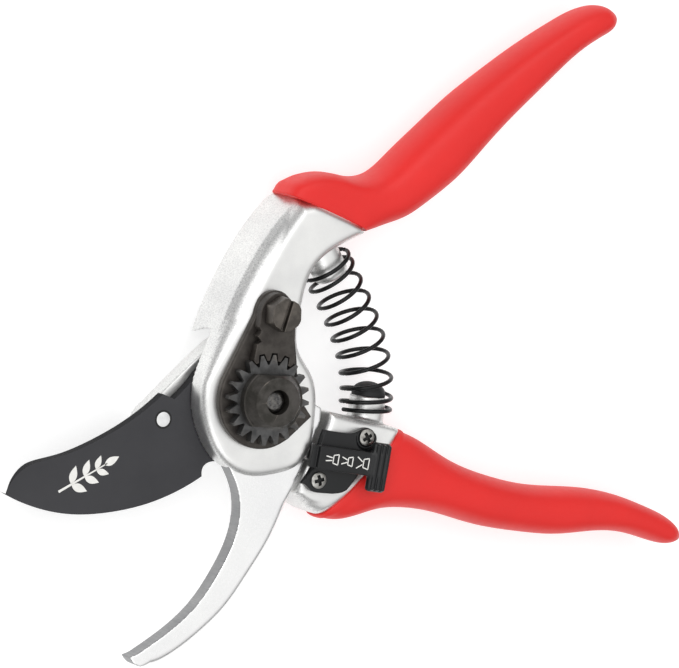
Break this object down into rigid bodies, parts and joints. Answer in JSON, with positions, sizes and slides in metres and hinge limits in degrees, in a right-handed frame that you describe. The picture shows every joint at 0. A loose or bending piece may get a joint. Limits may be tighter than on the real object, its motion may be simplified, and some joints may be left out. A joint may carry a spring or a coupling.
{
  "type": "bypass pruner",
  "caption": "Hand pruner with a curved cutting blade that passes a steel hook, red dipped grips, coil return spring, toothed lock nut and thumb-slide latch.",
  "frame": {"origin": "where the pivot bolt's axis meets the back face of the bolt head, on which the tool lies", "axes": "+Z along the pivot bolt towards its toothed nut, -Y towards the hook, -X towards the blade, +X towards the two grips"},
  "size_m": [0.2039, 0.1662, 0.028],
  "materials": {
    "hook_arm_forging": "satin, fine blasted casting",
    "upper_grip": "smooth dipped vinyl coat",
    "hook_blade": "ground and satin polished",
    "hook_rivet_1": "satin",
    "hook_rivet_2": "satin",
    "nut_plate": "blackened steel",
    "lock_segment": "blackened steel",
    "segment_screw": "blackened steel",
    "pivot_bolt": "blackened steel",
    "pivot_nut": "blackened steel",
    "blade_arm_forging": "satin, fine blasted casting",
    "lower_grip": "smooth dipped vinyl coat",
    "cutting_blade": "dark non-stick coating",
    "blade_rivet": "satin",
    "bumper": "moulded rubber",
    "latch_base": "moulded, slightly glossy",
    "latch_screw_1": "zinc plated",
    "latch_screw_2": "zinc plated",
    "latch_detent": "polished",
    "latch_slider": "moulded, slightly glossy",
    "return_spring": "black oiled spring wire"
  },
  "bodies": {
    "hook_arm": {"hook_arm_forging": "hook_arm_forging", "upper_grip": "upper_grip", "hook_blade": "hook_blade", "hook_rivet_1": "hook_rivet_1", "hook_rivet_2": "hook_rivet_2", "nut_plate": "nut_plate", "lock_segment": "lock_segment", "segment_screw": "segment_screw", "pivot_bolt": "pivot_bolt", "pivot_nut": "pivot_nut"},
    "blade_arm": {"blade_arm_forging": "blade_arm_forging", "lower_grip": "lower_grip", "cutting_blade": "cutting_blade", "blade_rivet": "blade_rivet", "bumper": "bumper", "latch_base": "latch_base", "latch_screw_1": "latch_screw_1", "latch_screw_2": "latch_screw_2", "latch_detent": "latch_detent", "return_spring": "return_spring"},
    "latch_slider": {"latch_slider": "latch_slider"}
  },
  "joints": [
    {"name": "pivot", "type": "hinge", "parent": "hook_arm", "child": "blade_arm", "pos_m": [0, 0, 0.01], "axis": [0, 0, 1], "range_deg": [0, 46.5], "stiffness_Nm_per_rad": 0.35, "springref_deg": -20.05, "deforming": ["return_spring"]},
    {"name": "latch_slide", "type": "slide", "parent": "blade_arm", "child": "latch_slider", "axis": [-0.9863, 0.165, 0], "range_m": [0, 0.0055]}
  ]
}
